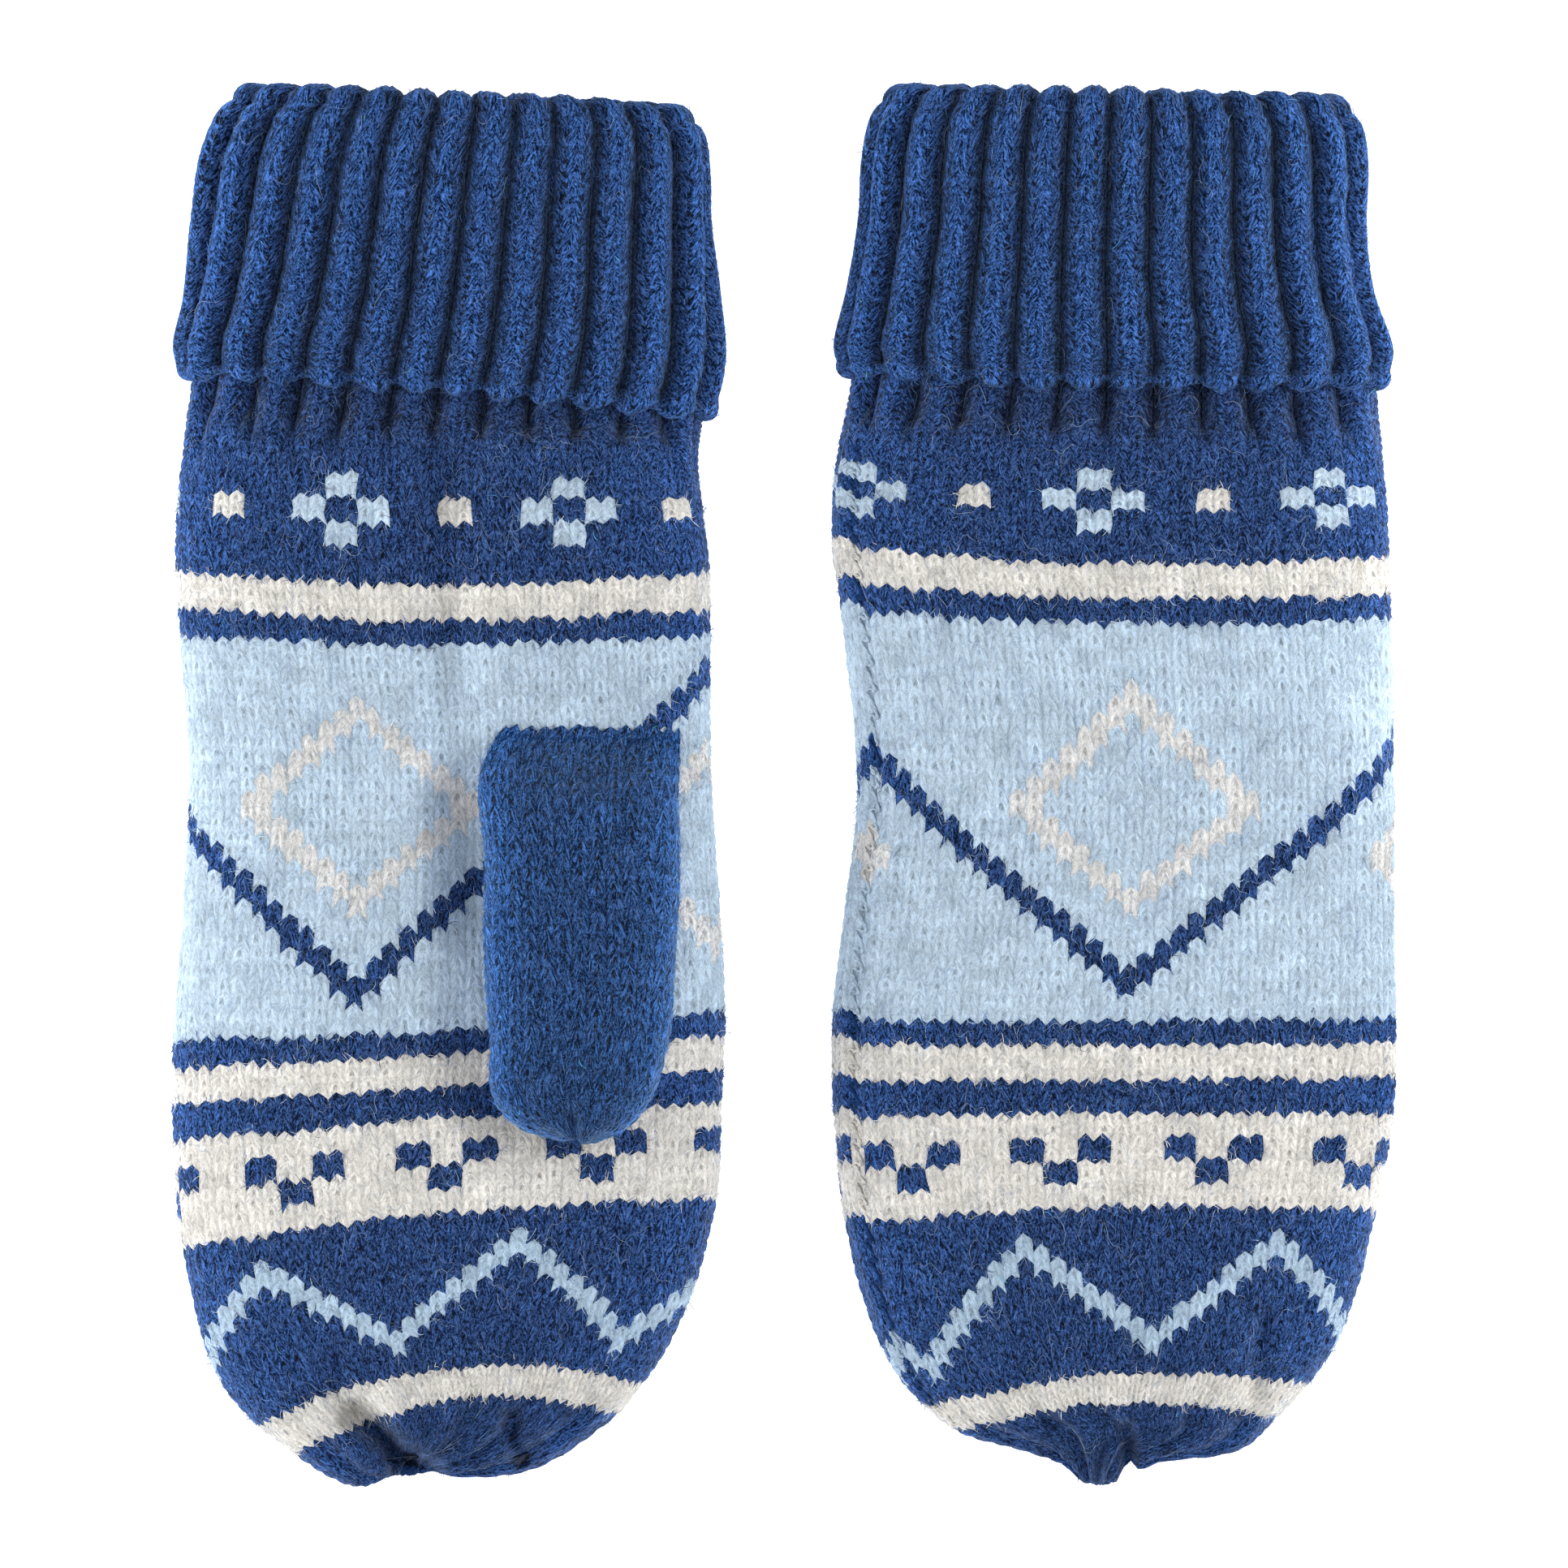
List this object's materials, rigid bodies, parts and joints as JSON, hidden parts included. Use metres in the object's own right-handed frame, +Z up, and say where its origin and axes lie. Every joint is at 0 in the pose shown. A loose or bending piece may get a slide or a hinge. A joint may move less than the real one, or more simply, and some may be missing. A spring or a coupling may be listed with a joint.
{
  "type": "pair of knitted mittens",
  "caption": "Pair of felted wool mittens in bands of patterned knitting, with turned-back ribbed cuffs and separately knitted thumbs, lying flat.",
  "frame": {"origin": "middle of the pair, on the surface that it lies on", "axes": "+X from the left mitten to the right one, +Y from the fingertips to the cuffs, +Z up"},
  "size_m": [0.221, 0.254, 0.032],
  "materials": {
    "hand_knit": "brushed stranded wool knitting in navy, light blue and cream",
    "navy_wool": "heathered navy wool, brushed, with ribs or plain stitches",
    "light_blue_wool": "heathered light blue wool",
    "cream_wool": "undyed cream wool"
  },
  "bodies": {
    "left_hand": {"left_hand_knit": "hand_knit", "left_side_seam": "light_blue_wool", "left_tip_gather": "navy_wool", "left_woven_ends": "cream_wool", "left_cuff_rib": "navy_wool"},
    "left_cuff": {"left_cuff_turnback": "navy_wool", "left_cuff_edge": "navy_wool"},
    "left_thumb": {"left_thumb_tube": "navy_wool", "left_thumb_pickup_ring": "navy_wool", "left_thumb_gather": "navy_wool"},
    "right_hand": {"right_hand_knit": "hand_knit", "right_side_seam": "light_blue_wool", "right_tip_gather": "navy_wool", "right_woven_ends": "cream_wool", "right_cuff_rib": "navy_wool"},
    "right_cuff": {"right_cuff_turnback": "navy_wool", "right_cuff_edge": "navy_wool"},
    "right_thumb": {"right_thumb_tube": "navy_wool", "right_thumb_pickup_ring": "navy_wool", "right_thumb_gather": "navy_wool"}
  },
  "joints": [
    {"name": "left_thumb_swing", "type": "hinge", "parent": "left_hand", "child": "left_thumb", "pos_m": [-0.036, -0.004, 0.02], "axis": [0, 0, 1], "range_deg": [0, 35]},
    {"name": "left_cuff_unfold", "type": "slide", "parent": "left_hand", "child": "left_cuff", "axis": [0, 1, 0], "range_m": [0, 0.047]},
    {"name": "right_mitten_apart", "type": "slide", "parent": "left_hand", "child": "right_hand", "axis": [1, 0, 0], "range_m": [0, 0.06]},
    {"name": "right_thumb_swing", "type": "hinge", "parent": "right_hand", "child": "right_thumb", "pos_m": [0.084, -0.004, 0.012], "axis": [0, 0, 1], "range_deg": [0, 35]},
    {"name": "right_cuff_unfold", "type": "slide", "parent": "right_hand", "child": "right_cuff", "axis": [0, 1, 0], "range_m": [0, 0.047]}
  ]
}
